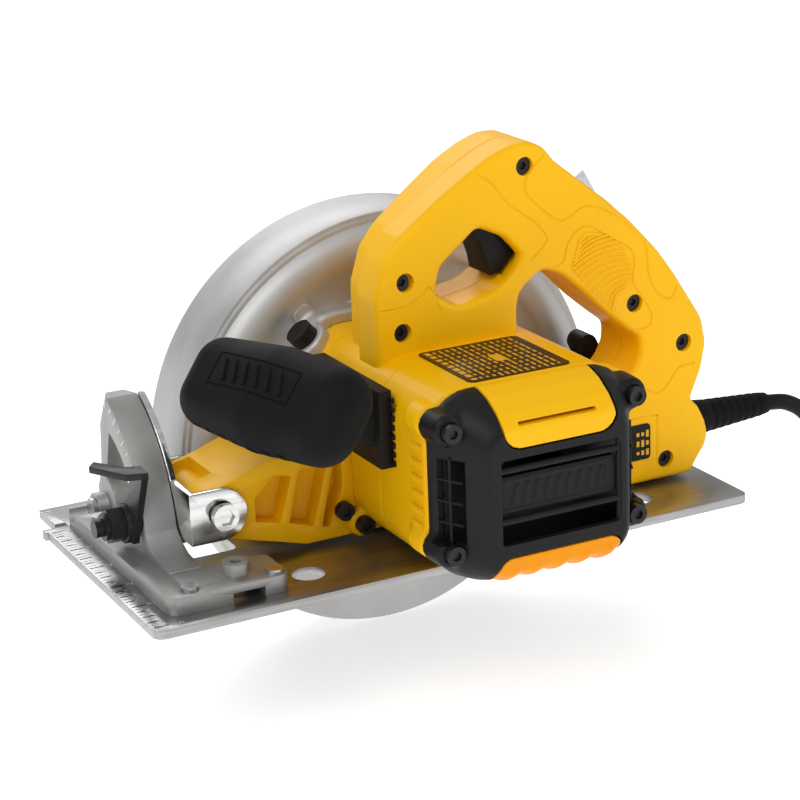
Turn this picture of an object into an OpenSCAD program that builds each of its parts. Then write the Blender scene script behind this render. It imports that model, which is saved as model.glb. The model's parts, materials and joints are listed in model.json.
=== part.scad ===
// Corded circular saw, blade on the right-hand side.
// X runs from front to rear, Y from the motor side to the blade side, Z up.
// The origin is at the middle of the sole, the lower face of the shoe.

/* [Shoe] */
// Length of the shoe, front to rear
shoe_l = 298; // [294:1:304]
// Width of the shoe
shoe_w = 164; // [162:1:170]
// Thickness of the shoe plate
shoe_t = 4; // [3.6:0.1:4.2]

/* [Blade] */
// Radius of the saw blade
blade_r = 92; // [88:1:92]
// Thickness of the blade plate
blade_t = 1.8; // [1.6:0.1:2]
// Number of teeth on the blade
blade_teeth = 24; // [18:2:40]

/* [Guards] */
// Outer radius of the fixed upper guard
guard_r = 110; // [108:1:111]
// Outer radius of the swinging lower guard
lower_r = 98.5; // [97:0.5:99]
// Wall thickness of both guards
guard_wall = 3; // [2.5:0.5:3]

/* [Motor housing] */
// Width of the motor housing
house_w = 98; // [97:0.5:98]
// Height of the motor housing
house_h = 84; // [83:0.5:84]
// Corner radius of the motor housing
house_r = 20; // [19:0.5:20]
// Wall of the plastic castings
wall = 3; // [2.5:0.25:3]

/* [Bevel and depth] */
// Largest bevel angle that the slotted quadrant allows
bevel_max = 50; // [45:1:50]
// Largest lift of the saw about its front pivot
depth_max = 27; // [20:1:27]

/* [Gears] */
// Teeth on the motor pinion
pinion_teeth = 10; // [10:1:11]
// Teeth on the spindle gear
gear_teeth = 46; // [44:1:46]

/* [Hidden] */
$fn = 64;
fit = 0.04;
gap = 0.3;
blade_y = 50;
spindle_x = 20;
spindle_z = 27;
motor_x = 18;
motor_z = 50;
centre_d = norm([motor_x - spindle_x, motor_z - spindle_z]);
line_a = atan2(motor_z - spindle_z, motor_x - spindle_x);
gear_m = 2 * centre_d / (pinion_teeth + gear_teeth);
house_x0 = motor_x - 1 - house_w / 2;
house_x1 = house_x0 + house_w;
house_z0 = motor_z - house_h / 2;
house_z1 = house_z0 + house_h;
house_y0 = -104;
house_y1 = -3;
cap_y0 = -130;
plate_y1 = 2;
guard_y0 = 22;
guard_y1 = 68;
guard_cut = 28;
hinge_y = 50;
hinge_z = 12;
pivot_x = -97;
pivot_z = 30;
quad_r = 69;
quad_x0 = -121;
quad_x1 = -112.4;
slot_r = 56;
bolt_a = 12;
arc_r = 227;
arc_y0 = -8.5;
arc_y1 = -5.5;
grip_y0 = -48;
grip_y1 = -11;
grip_ym = -29.5;
trig_x = 44;
trig_z = 151;
lock_a = -40.6;
lock_y = 11;
cord_r = 4;
floor_z = spindle_z - lower_r;

// ---- drawing helpers ----

// Outline in the X-Z plane, pulled from y0 to y1
module xz(y0, y1) {
    translate([0, y1, 0]) rotate([90, 0, 0]) linear_extrude(y1 - y0) children();
}

// Outline in the Y-Z plane, pulled from x0 to x1
module yz(x0, x1) {
    translate([x0, 0, 0]) rotate([90, 0, 90]) linear_extrude(x1 - x0) children();
}

// Round bar along Y
module rod_y(x, z, y0, y1, r) {
    translate([x, y1, z]) rotate([90, 0, 0]) cylinder(r = r, h = y1 - y0);
}

// Round bar along X
module rod_x(y, z, x0, x1, r) {
    translate([x0, y, z]) rotate([0, 90, 0]) cylinder(r = r, h = x1 - x0);
}

// Tube along Y
module tube_y(x, z, y0, y1, r, bore) {
    translate([x, y1, z]) rotate([90, 0, 0]) linear_extrude(y1 - y0) ring(r, bore);
}

module ring(r, bore) {
    difference() {
        circle(r);
        circle(bore);
    }
}

// Box between two corners
module box(a, b) {
    translate(a) cube(b - a);
}

// Rectangle with round corners
module rrect(x0, y0, x1, y1, r) {
    translate([x0 + r, y0]) square([x1 - x0 - 2 * r, y1 - y0]);
    translate([x0, y0 + r]) square([x1 - x0, y1 - y0 - 2 * r]);
    for (x = [x0 + r, x1 - r], y = [y0 + r, y1 - r])
        translate([x, y]) circle(r);
}

// Bar with round ends from p to q
module bar(p, q, r) {
    d = q - p;
    translate(p) rotate(atan2(d[1], d[0])) {
        translate([0, -r]) square([norm(d), 2 * r]);
        circle(r);
        translate([norm(d), 0]) circle(r);
    }
}

// Pie slice of radius r from angle a to b
module wedge(r, a, b) {
    n = ceil((b - a) / 10);
    polygon(concat([[0, 0]],
        [for (i = [0 : n]) r * [cos(a + (b - a) * i / n), sin(a + (b - a) * i / n)]]));
}

// Ring sector from angle a to b
module band(r0, r1, a, b) {
    intersection() {
        ring(r1, r0);
        wedge(r1 * 1.4, a, b);
    }
}

// Curved slot of half width w on radius r from angle a to b
module arc_slot(r, w, a, b) {
    band(r - w, r + w, a, b);
    for (t = [a, b])
        translate(r * [cos(t), sin(t)]) circle(w);
}

// Motor housing's outline, grown by g
module house_outline(g) {
    rrect(house_x0 - g, house_z0 - g, house_x1 + g, house_z1 + g, house_r + g);
}

// Toothed wheel outline with n teeth; phase turns the first tooth
module toothed(n, phase) {
    pitch = gear_m * n / 2;
    tip = pitch + 0.5 * gear_m;
    root = pitch - 0.8 * gear_m;
    step = 360 / n;
    polygon([for (i = [0 : n - 1], p = [[-0.27, root], [-0.11, tip], [0.11, tip],
        [0.27, root]]) p[1] * [cos(phase + (i + p[0]) * step),
        sin(phase + (i + p[0]) * step)]]);
}

// Points of a ring of s sides, radius r, at c, across unit vectors u and v
function ring_points(c, u, v, r, s) =
    [for (k = [0 : s - 1]) c + r * (cos(360 * k / s) * u + sin(360 * k / s) * v)];

// Solid swept through rings of s points each
module skin(rings, s) {
    n = len(rings);
    points = [for (g = rings) for (p = g) p];
    sides = [for (i = [0 : n - 2], k = [0 : s - 1])
        [i * s + k, i * s + (k + 1) % s, (i + 1) * s + (k + 1) % s, (i + 1) * s + k]];
    caps = [[for (k = [0 : s - 1]) s - 1 - k],
        [for (k = [0 : s - 1]) (n - 1) * s + k]];
    polyhedron(points, concat(sides, caps), convexity = 6);
}

// Coil spring along Z from z = 0 to h
module coil(r, wire, h, turns) {
    n = turns * 12;
    rings = [for (i = [0 : n]) let (a = 360 * i / 12, c = [cos(a), sin(a), 0])
        ring_points([r * c[0], r * c[1], wire + (h - 2 * wire) * i / n], c, [0, 0, 1],
            wire, 6)];
    skin([for (g = rings) [for (k = [5 : -1 : 0]) g[k]]], 6);
}

// Screw along +Y with a round socket head, head face at y
module screw_y(x, z, y, head_r, head_h, shank_r, shank_l) {
    difference() {
        union() {
            rod_y(x, z, y, y + head_h, head_r);
            rod_y(x, z, y + head_h - 0.5, y + head_h + shank_l, shank_r);
        }
        translate([x, y - 1, z]) rotate([-90, 0, 0]) cylinder(r = shank_r, h = 2.5, $fn = 6);
    }
}

// ---- base: what lies on the work ----

FENCE_X = [-109, -94];
RIVETS = [[-126, -64], [-87, -65], [-128.5, 36]];
LUG_RIVETS = [[129, 49]];
SHOE_HOLES = [[-68, -58], [102, -58]];

module shoe_plate() {
    front = -shoe_l / 2;
    side = shoe_w / 2;
    color("silver") linear_extrude(shoe_t) difference() {
        union() {
            rrect(front, -side, shoe_l / 2, side, 5);
            translate([front - 1.5, 52]) square([12, 4]);
        }
        // the far portion's front edge is set back, with a gap beside the pointer
        translate([front - 1, 60]) square([7, side]);
        translate([front - 1, 56]) square([12, 4]);
        // opening for the blade, the lower guard and the gear case
        rrect(-96, 14, 124, 66, 4);
        rrect(-106, -14, -82, 30, 4);
        for (h = SHOE_HOLES)
            translate(h) circle(7.5);
        for (p = concat(RIVETS, LUG_RIVETS))
            translate(p) circle(2.5 + fit);
    }
}

module bevel_quadrant() {
    color("silver") difference() {
        union() {
            // cast foot, and the boss of the rip fence's clamp screw
            translate([0, 0, shoe_t]) linear_extrude(8) union() {
                rrect(-138, -71, quad_x1, 58, 6);
                rrect(-125, -71, -82, -44, 5);
            }
            translate([-101.5, -57, shoe_t]) cylinder(r = 6, h = 13);
            // upright quadrant with its thicker rim
            yz(quad_x0, quad_x1) quadrant_outline();
            yz(-127, quad_x1) difference() {
                quadrant_outline();
                translate([hinge_y, hinge_z]) circle(quad_r - 6);
                translate([20, 0]) square(120);
            }
            rod_x(hinge_y, hinge_z, -126, quad_x1, 7);
        }
        // channel for the rip fence, and its clamp screw
        box([FENCE_X[0], -80, shoe_t - 1], [FENCE_X[1], -40, shoe_t + 4.5]);
        translate([-101.5, -57, shoe_t]) cylinder(r = 2.5, h = 20);
        for (p = RIVETS)
            translate([p[0], p[1], 0]) cylinder(r = 2.5 + fit, h = 20);
        rod_x(hinge_y, hinge_z, -145, -100, 3 + fit);
        rod_x(hinge_y, hinge_z, -145, -126.1, 5.3);
        // slot of the clamp bolt, and windows that lighten the casting
        yz(-145, -100) translate([hinge_y, hinge_z]) mirror([1, 0]) union() {
            arc_slot(slot_r, 4.3, bolt_a - 4, bolt_a + bevel_max + 3);
            band(16, 42, 14, 72);
        }
    }
}

module quadrant_outline() {
    n = 12;
    polygon(concat([[hinge_y + 7, 8], [-46, 8], [-44, 12.6], [-31, 14], [-22.5, 17.5]],
        [for (i = [0 : n]) let (a = 8 + 56 * i / n)
            [hinge_y - quad_r * cos(a), hinge_z + quad_r * sin(a)]],
        [[37, 71], [48, 53], [51, 30], [hinge_y + 7, 20]]));
}

module shoe_rivets() {
    color("gainsboro") {
        for (p = RIVETS) {
            translate([p[0], p[1], 0.4]) cylinder(r = 2.5, h = 12);
            translate([p[0], p[1], 12]) cylinder(r = 4, h = 1.6);
        }
        for (p = LUG_RIVETS) {
            translate([p[0], p[1], 0.4]) cylinder(r = 2.5, h = 7);
            translate([p[0], p[1], 7]) cylinder(r = 4, h = 1.6);
        }
    }
}

module rear_hinge_lug() {
    color("gray") difference() {
        union() {
            box([124.5, 41, shoe_t], [138, 58, shoe_t + 3]);
            yz(134, 138) union() {
                translate([41, shoe_t]) square([17, 8]);
                translate([hinge_y - 0.5, hinge_z]) circle(7.9);
            }
        }
        for (p = LUG_RIVETS)
            translate([p[0], p[1], 0]) cylinder(r = 2.5 + fit, h = 20);
        rod_x(hinge_y, hinge_z, 130, 150, 3 + fit);
    }
}

module hinge_pins() {
    color("gainsboro") {
        rod_x(hinge_y, hinge_z, -126.2, -108, 3);
        rod_x(hinge_y, hinge_z, -128.2, -126.2, 5);
        rod_x(hinge_y, hinge_z, 133.8, 145, 3);
        rod_x(hinge_y, hinge_z, 145, 147, 5);
    }
}

// ---- parts that tilt with the saw ----

module tilt_plate() {
    color("lightsteelblue") difference() {
        union() {
            yz(-112, -109) translate([hinge_y, hinge_z]) mirror([1, 0]) union() {
                circle(7.4);
                band(43, 70, 2, 64);
                translate([60, 6]) square([25, 24]);
                bar([0, 0], 50 * [cos(28), sin(28)], 7);
            }
            // ears on both sides of the front arm
            for (y = [-35, 14.4])
                xz(y, y + 3) union() {
                    translate([-112, 18]) square([pivot_x + 112, 24]);
                    translate([pivot_x, pivot_z]) circle(12);
                }
        }
        rod_x(hinge_y, hinge_z, -120, -100, 3 + fit);
        rod_x(hinge_y - slot_r * cos(bolt_a), hinge_z + slot_r * sin(bolt_a), -120, -100,
            4 + fit);
        rod_y(pivot_x, pivot_z, -40, 30, 4 + fit);
    }
}

module depth_bracket() {
    color("lightsteelblue") difference() {
        union() {
            xz(arc_y0, arc_y1) union() {
                translate([pivot_x, pivot_z]) band(arc_r - 8, arc_r + 9, -5, 31);
                translate([122, 8]) square([18, 16]);
                translate([138, 8]) square([5, 26]);
            }
            yz(140, 143) union() {
                polygon([[arc_y1 - 1, 8], [hinge_y, hinge_z - 7.4], [hinge_y, hinge_z + 7.4],
                    [arc_y1 - 1, 34]]);
                translate([hinge_y, hinge_z]) circle(7.4);
            }
        }
        xz(-20, 10) translate([pivot_x, pivot_z])
            arc_slot(arc_r, 3.4, -0.5, depth_max + 1);
        rod_x(hinge_y, hinge_z, 130, 150, 3 + fit);
    }
}

module depth_pivot_bolt() {
    color("gainsboro") {
        screw_y(pivot_x, pivot_z, -39.5, 6, 3, 4, 54.6);
        rod_y(pivot_x, pivot_z, 17.6, 21.4, 6.5);
    }
}

module bevel_bolt() {
    color("dimgray") {
        rod_x(hinge_y - slot_r * cos(bolt_a), hinge_z + slot_r * sin(bolt_a), -146, -109, 4);
        rod_x(hinge_y - slot_r * cos(bolt_a), hinge_z + slot_r * sin(bolt_a), -109, -106, 8);
    }
}

// Clamp lever, a bent plate round the bolt
module bevel_lever() {
    by = hinge_y - slot_r * cos(bolt_a);
    bz = hinge_z + slot_r * sin(bolt_a);
    color("dimgray") difference() {
        union() {
            yz(-131, -127.8) polygon([[by - 7, bz - 8], [by + 7, bz - 7.6], [by + 9, bz + 6.5],
                [by - 8, bz + 20], [by - 9, bz + 25], [by - 15, bz + 31], [by - 25, bz + 29]]);
            rod_x(by, bz, -133, -127.8, 9);
            translate([-131, by - 25, bz + 27.5]) thumb_flange();
        }
        rod_x(by, bz, -150, -100, 4 + fit);
    }
}

module thumb_flange() {
    linear_extrude(3) polygon([[3.2, 0], [-6, 3], [-16, 22], [-12, 27], [-3, 13], [3.2, 11]]);
}

module bevel_nut() {
    by = hinge_y - slot_r * cos(bolt_a);
    bz = hinge_z + slot_r * sin(bolt_a);
    color("black") difference() {
        union() {
            translate([-140, by, bz]) rotate([0, 90, 0]) cylinder(r = 8, h = 7, $fn = 6);
            rod_x(by, bz, -142, -140, 6);
        }
        rod_x(by, bz, -150, -100, 4 + fit);
    }
}

// ---- saw body ----

CAP_SCREWS = [[house_x0 + 4, 79], [house_x0 + 4, 25], [house_x1 - 4, 79],
    [house_x1 - 4, 25]];
GUARD_SCREWS = [[-20, 20], [56, 20], [-14, 84], [56, 80]];
AUX_SCREW_Z = [57, 80];
aux_screw_y = -24;
ARM_SCREWS = [[-37.5, -35.7, 19], [-30, -41, 12.5]];

module motor_housing() {
    color("gold") difference() {
        union() {
            difference() {
                xz(house_y0, house_y1) house_outline(0);
                xz(house_y0 - 1, house_y1 + 1) house_outline(-wall);
            }
            intersection() {
                union() {
                    for (p = CAP_SCREWS)
                        rod_y(p[0], p[1], house_y0, house_y0 + 20, 7);
                    for (p = GUARD_SCREWS)
                        rod_y(p[0], p[1], -20, house_y1, 6);
                }
                xz(house_y0, house_y1) house_outline(4);
            }
            // ribs that hold the stator
            box([house_x0 + 1, -80, 44], [motor_x - 33.6, -40, 56]);
            box([motor_x + 33.6, -80, 44], [house_x1 - 1, -40, 56]);
            // lug that carries the front arm's screw
            difference() {
                xz(-37, -31.7) union() {
                    translate([-30, 12.5]) circle(5.5);
                    translate([-30, 12.5]) square([16, 6]);
                }
                xz(-40, -30) house_outline(-wall);
            }
        }
        xz(-90, -30) translate([motor_x, motor_z]) circle(34 + fit);
        for (p = CAP_SCREWS)
            rod_y(p[0], p[1], house_y0 - 1, house_y0 + 16, 2.3);
        for (p = GUARD_SCREWS)
            rod_y(p[0], p[1], -30, 0, 2.5 + fit);
        rod_y(-30, 12.5, -50, -18, 2.5 + fit);
        rod_y(-30, 12.5, -50, -36.9, 4.5);
        for (z = AUX_SCREW_Z)
            rod_x(aux_screw_y, z, house_x0 - 2, house_x0 + 8, 2 + fit);
        // air slots near the gear end, on the rear side
        for (i = [0 : 4])
            box([house_x1 - 5, -30, 34 + 7 * i], [house_x1 + 5, -12, 37 + 7 * i]);
    }
}

module arm_outline() {
    polygon(concat([[-56, 6.5], [house_x0 + 30, 6.5], [house_x0 + 30, 48], [-52, 50],
        [-74, 49], [-88, 44]],
        [for (a = [90 : 10 : 250]) [pivot_x + 11.5 * cos(a), pivot_z + 11.5 * sin(a)]]));
}

module arm_pockets() {
    polygon([[-80, 22], [-68, 19], [-62, 40], [-70, 42], [-80, 33]]);
    polygon([[-64, 18], [-52, 14], [-44, 43], [-58, 42]]);
    polygon([[-48, 13], [-44, 12], [-37, 30], [-37, 43], [-41, 43]]);
}

module front_arm() {
    color("orange") difference() {
        xz(-31.7, 14.1) arm_outline();
        xz(-60, 60) house_outline(0);
        xz(-40, -22) arm_pockets();
        xz(5, 20) arm_pockets();
        // room for the head of the bevel bolt
        xz(-14.5, 11) translate([pivot_x, pivot_z]) intersection() {
            ring(30, 8);
            translate([-36, -30]) square([40, 60]);
        }
        rod_y(pivot_x, pivot_z, -60, 40, 4 + 2 * fit);
        for (p = ARM_SCREWS)
            rod_y(p[0], p[2], -60, -12, 2.5 + fit);
    }
}

// Solid of the end cap, tapered toward the grille, inset by g
module cap_solid(g) {
    hull() {
        xz(house_y0 - 3, house_y0 + (g > 0 ? 1 : 0)) house_outline(-g);
        xz(cap_y0 + 7, cap_y0 + 8)
            rrect(house_x0 + 10 + g, house_z0 + 3 + g, house_x1 - 10 - g, house_z1 - 7 - g, 12);
        xz(cap_y0 + g, cap_y0 + g + 1)
            rrect(house_x0 + 15 + g, house_z0 + 7 + g, house_x1 - 12 - g, house_z1 - 13 - g, 9);
    }
}

module cap_shell() {
    difference() {
        cap_solid(0);
        cap_solid(wall);
    }
}

module top_insert_space() {
    box([house_x0 + 24, cap_y0 - 1, 73], [house_x1 - 20, house_y0 + 1, 100]);
}

module bottom_insert_space() {
    box([house_x0 + 19, cap_y0 - 1, 0], [house_x1 - 16, house_y0 - 4, 24]);
}

module end_cap() {
    color("black") difference() {
        union() {
            cap_shell();
            difference() {
                for (p = CAP_SCREWS)
                    rod_y(p[0], p[1], house_y0 - 14, house_y0, 7.5);
                cap_solid(wall);
            }
        }
        top_insert_space();
        bottom_insert_space();
        // slots of the grille above and below the middle panel
        for (z = [30, 61])
            box([-11, cap_y0 - 1, z], [48, cap_y0 + 6, z + 5]);
        for (x = [-11, 45])
            box([x, cap_y0 - 1, 39], [x + 3, cap_y0 + 6, 57]);
        // louvre on the two slanted sides
        for (i = [0 : 4], x = [house_x0 + 6, house_x1 - 14])
            box([x - 1, -122, 31 + 8 * i], [x + 9, -110, 35 + 8 * i]);
        for (p = CAP_SCREWS) {
            rod_y(p[0], p[1], cap_y0, house_y0 + 5, 2.3);
            rod_y(p[0], p[1], cap_y0, house_y0 - 14, 4.6);
        }
    }
}

module top_insert() {
    color("gold") difference() {
        intersection() {
            cap_shell();
            top_insert_space();
        }
        box([0, -126, 80], [36, -116, 95]);
    }
}

module bottom_insert() {
    color("orange") difference() {
        intersection() {
            cap_shell();
            bottom_insert_space();
        }
        for (i = [0 : 4])
            box([-8 + 12 * i, -140, 10], [-4 + 12 * i, -128.6, 22]);
    }
}

// Black machine screws of the casings
module case_screws() {
    color("black") {
        for (p = CAP_SCREWS)
            screw_y(p[0], p[1], house_y0 - 18, 4.2, 4, 2.25, 18);
        for (p = GUARD_SCREWS)
            screw_y(p[0], p[1], -24, 4.2, 4, 2.45, 32);
        for (p = ARM_SCREWS)
            screw_y(p[0], p[2], p[1], 4.2, 4, 2.45, 16);
        for (z = AUX_SCREW_Z)
            translate([house_x0 - 6, aux_screw_y, z]) rotate([0, 0, 90])
                mirror([0, 1, 0]) screw_y(0, 0, -0.2, 4, 3, 2, 8);
    }
}

module data_label() {
    color("saddlebrown") translate([0, 0, house_z1])
        linear_extrude(0.5) rrect(-8, -101, 42, -52, 3);
}

module upper_guard() {
    color("lightgray") difference() {
        union() {
            // rim, near wall and far ring of the blade cover
            intersection() {
                union() {
                    tube_y(spindle_x, spindle_z, guard_y0, guard_y1, guard_r,
                        guard_r - guard_wall);
                    rod_y(spindle_x, spindle_z, guard_y0, guard_y0 + guard_wall, guard_r);
                    tube_y(spindle_x, spindle_z, guard_y1 - guard_wall, guard_y1, guard_r, 62);
                }
                box([-150, 0, guard_cut], [180, 90, 180]);
            }
            // wall round the gear case
            xz(guard_y0, guard_y0 + guard_wall) union() {
                house_outline(-0.01);
                translate([spindle_x, spindle_z]) circle(22.3);
            }
            difference() {
                xz(plate_y1, guard_y0) house_outline(0);
                xz(plate_y1 - 1, guard_y0) house_outline(-wall);
            }
            xz(plate_y1, guard_y0) chamber_outline(2.5);
            for (p = GUARD_SCREWS)
                rod_y(p[0], p[1], plate_y1, guard_y0, 5.5);
            // boss for the spindle bearing
            rod_y(spindle_x, spindle_z, guard_y0, 35, 17.5);
            // collar of the lock button
            intersection() {
                lock_axis() translate([0, 0, 66]) cylinder(r = 9, h = 14);
                box([-80, plate_y1, 40], [40, 20, 140]);
            }
        }
        xz(plate_y1 - 1, guard_y0 - 2) chamber_outline(0);
        rod_y(spindle_x, spindle_z, 26, 40, 14 + fit);
        rod_y(spindle_x, spindle_z, 0, 40, 8);
        lock_axis() translate([0, 0, 10]) cylinder(r = 2.5 + 0.1, h = 80);
        lock_axis() translate([0, 0, 68]) cylinder(r = 6.6, h = 20);
        for (p = GUARD_SCREWS)
            rod_y(p[0], p[1], plate_y1 - 1, 16, 2.5 + fit);
    }
}

// Hollow of the gear case, grown by g
module chamber_outline(g) {
    translate([spindle_x, spindle_z]) circle(20.1 + g * 0.88);
    translate([motor_x, motor_z]) circle(12 + g);
}

module gear_plate() {
    color("silver") difference() {
        union() {
            xz(house_y1, plate_y1) union() {
                house_outline(0);
                translate([spindle_x, spindle_z]) circle(22.3);
            }
            rod_y(motor_x, motor_z, -9, house_y1, 16);
        }
        rod_y(motor_x, motor_z, -7, plate_y1 + 1, 13 + fit);
        rod_y(motor_x, motor_z, -10, 0, 7);
        rod_y(spindle_x, spindle_z, -1.5, plate_y1 + 1, 5 + fit);
        for (p = GUARD_SCREWS)
            rod_y(p[0], p[1], -10, 10, 2.5 + fit);
        for (x = [-14, 50], z = [36, 64])
            rod_y(x, z, -10, 10, 5);
    }
}

HANDLE_SCREWS = [[51, 167.5], [-11, 124], [-12.6, 101.5], [108, 95.5], [135, 72], [125, 16]];

// Closed outline of the handle with its rear foot; f sets the front edge back
module handle_outline(f) {
    offset(r = 3) offset(r = -3) difference() {
        polygon([[-25 + f, 84], [-25 + f, 118], [-20 + f, 134], [-12 + f, 144],
            [8 + f / 2, 158], [24, 168], [36, 174.5], [46, 178], [55, 178], [62, 174.5],
            [67, 168], [80, 157.5], [94, 146.5], [106, 135.5], [117, 124], [123, 117],
            [131, 106], [139, 93.5], [146, 82.5], [148.5, 70], [146, 57.5], [141, 46],
            [139.5, 43.5], [144.5, 38.5], [148.5, 30.5], [149.5, 24], [148.5, 18.5],
            [144.5, 13.5], [141, 8], [141, 6], [84, 6],
            [84, 16], [house_x1 + 0.2, 22], [house_x1 + 0.2, 46], [84, 46], [93, 49.5],
            [102, 56.5], [108, 63], [111.5, 70], [111.5, 78], [102, 85.5], [91, 95],
            [79, 107], [71, 114], [64, 117.5], [59, 118.5], [53, 114.5], [48, 110],
            [46.5, 104], [46.5, 88]]);
        polygon([[5, 116], [8, 128], [27, 143], [40, 137], [49, 127], [46, 121],
            [40, 115.5], [34, 112], [16, 109]]);
    }
}

module handle_face(f) {
    difference() {
        handle_outline(f);
        house_outline(0.2);
    }
}

module trigger_2d() {
    polygon([[38, 156], [50, 156], [54, 142], [50, 127], [43, 119], [37, 118], [36, 124],
        [33, 133], [28, 141], [33, 148]]);
}

module trigger_turned() {
    translate([trig_x, trig_z]) rotate(10) translate([-trig_x, -trig_z]) trigger_2d();
}

// Hollow inside the closed handle
module handle_hollow(f) {
    difference() {
        offset(delta = -wall) handle_face(f);
        for (p = HANDLE_SCREWS)
            translate(p) circle(5);
    }
    offset(delta = 0.8) union() {
        trigger_2d();
        trigger_turned();
    }
}

module handle_half(y0, y1, inner0, inner1, f) {
    difference() {
        xz(y0, y1) handle_face(f);
        xz(inner0, inner1) handle_hollow(f);
        rod_y(trig_x, trig_z, grip_y0 + 1, grip_y1 - 1, 2.5 + fit);
        // seat of the cord boot
        rod_x(grip_ym, exit_z, 130, 153, 7 + fit);
    }
}

module handle_left() {
    color("gold") difference() {
        handle_half(grip_y0, grip_ym, grip_y0 + wall, grip_ym + 1, 0);
        for (p = HANDLE_SCREWS) {
            rod_y(p[0], p[1], grip_y0 - 1, grip_ym + 1, 2.1);
            rod_y(p[0], p[1], grip_y0 - 1, grip_y0 + 5, 4);
        }
    }
}

module handle_right() {
    color("gold") difference() {
        handle_half(grip_ym, grip_y1, grip_ym - 1, grip_y1 - wall, 5);
        for (p = HANDLE_SCREWS)
            rod_y(p[0], p[1], grip_ym - 1, grip_y1 - 3, 2.1);
        rod_y(130, 30, -40, 0, 3 + fit);
    }
}

module handle_screws() {
    color("black")
        for (p = HANDLE_SCREWS)
            screw_y(p[0], p[1], grip_y0 + 2, 3.8, 3, 2, 24);
}

module foot_badge() {
    color("saddlebrown") xz(grip_y0 - 0.5, grip_y0) rrect(97, 18.5, 116, 36, 2);
}

module switch_body() {
    color("black") box([62, -40, 130], [84, -19, 151]);
}

module trigger() {
    color("maroon") {
        xz(-39, -20) trigger_2d();
        rod_y(trig_x, trig_z, grip_y0 + 1.5, grip_y1 - 1.5, 2.5);
    }
}

module trigger_spring() {
    color("silver") translate([trig_x, -44.5, trig_z]) rotate([-90, 0, 0])
        coil(4, 0.6, 5, 3);
}

module brush_plate() {
    color("dimgray") difference() {
        union() {
            xz(house_y0 + 1, house_y0 + 4) union() {
                translate([motor_x, motor_z]) circle(38);
                translate([house_x0 + wall, motor_z - 5])
                    square([house_w - 2 * wall, 10]);
            }
            rod_y(motor_x, motor_z, -112, house_y0 + 4, 13.5);
        }
        rod_y(motor_x, motor_z, -111, house_y0 + 5, 11 + fit);
        rod_y(motor_x, motor_z, -114, -100, 6);
        for (a = [45 : 90 : 315])
            rod_y(motor_x + 26 * cos(a), motor_z + 26 * sin(a), -110, -90, 8);
    }
}

module brush_holders() {
    color("goldenrod")
        for (s = [-1, 1])
            translate([motor_x, -94, motor_z]) scale([s, 1, 1]) difference() {
                box([14, -4, -4], [33, 4, 4]);
                box([10, -3, -3], [32, 3, 3]);
            }
}

module carbon_brushes() {
    color("black")
        for (s = [-1, 1])
            translate([motor_x, -94, motor_z]) scale([s, 1, 1])
                box([12.3, -2.9, -2.9], [25, 2.9, 2.9]);
}

module brush_springs() {
    color("silver")
        for (s = [-1, 1])
            translate([motor_x + s * 25.2, -94, motor_z]) rotate([0, 90 * s, 0])
                coil(2.2, 0.35, 6.6, 5);
}

module stator_core() {
    color("slategray") difference() {
        rod_y(motor_x, motor_z, -84, -36, 34);
        rod_y(motor_x, motor_z, -90, -30, 22.5);
        // windows for the windings
        for (s = [0, 180])
            rotate_about(s) box([-9, -90, 20], [9, -30, 28]);
    }
}

// Turns its children about the motor's axis
module rotate_about(a) {
    translate([motor_x, 0, motor_z]) rotate([0, a, 0]) children();
}

module field_coils() {
    color("chocolate") {
        for (y = [-89, -36])
            tube_y(motor_x, motor_z, y, y + 5, 31, 24.5);
        for (s = [0, 180])
            rotate_about(s) box([-8, -84, 24.6], [8, -36, 27.6]);
    }
}

module rear_bearing() {
    color("silver") tube_y(motor_x, motor_z, -110, -103, 11, 4 + fit);
}

module front_bearing() {
    color("silver") tube_y(motor_x, motor_z, -6, 2, 13, 5 + fit);
}

module spindle_bearing() {
    color("silver") tube_y(spindle_x, spindle_z, 26.5, 34.5, 14, 6 + fit);
}

// Places its children along the auxiliary handle, near end at z = 0
module aux_axis() {
    translate([-76.5, -125.5, 94.5]) rotate([0, 0, 17]) rotate([-90, 0, 0]) children();
}

module aux_base() {
    color("black") difference() {
        union() {
            // foot on the front wall of the motor housing
            box([house_x0 - 6, -74, 51], [house_x0 - 0.02, -8, 86]);
            // neck toward the grip
            hull() {
                box([house_x0 - 8, -68, 60], [house_x0 - 6, -34, 84]);
                box([-84, -72, 84], [-72, -48, 98]);
            }
        }
        grip_solid();
        for (z = AUX_SCREW_Z) {
            rod_x(aux_screw_y, z, -60, -20, 2 + fit);
            rod_x(aux_screw_y, z, -60, house_x0 - 3.2, 4.4);
        }
    }
}

// Oval grip, thickest in the middle
module grip_solid() {
    aux_axis() rotate([0, 0, -50]) hull()
        for (s = [-1, 1]) {
            translate([7 * s, 0, 12]) sphere(r = 14.5, $fn = 28);
            translate([7 * s, 0, 81]) sphere(r = 13.5, $fn = 28);
            translate([7 * s, 0, 44]) cylinder(r = 16.4, h = 2, $fn = 28);
        }
}

module aux_grip() {
    color("black") difference() {
        grip_solid();
        aux_slot_cut();
    }
}

// Finger grooves along the lower side of the grip
module aux_slot_cut() {
    aux_axis()
        for (i = [0 : 6])
            translate([-10, 21, 22 + 9 * i]) rotate([0, 30, 45]) cube([20, 10, 3], center = true);
}

module depth_bolt() {
    color("gainsboro") {
        rod_y(130, 30, -12, 8, 3);
        rod_y(130, 30, -17.3, -14.4, 6);
        rod_y(130, 30, -14.4, -12, 3);
    }
}

module depth_lever() {
    color("black") difference() {
        union() {
            rod_y(130, 30, -5.2, 5, 8);
            xz(0.5, 4.5) bar([130, 30], [111, 62], 6);
            xz(-3.5, 8) bar([113, 58], [110, 64], 5);
        }
        rod_y(130, 30, -10, 20, 3 + fit);
    }
}

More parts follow.
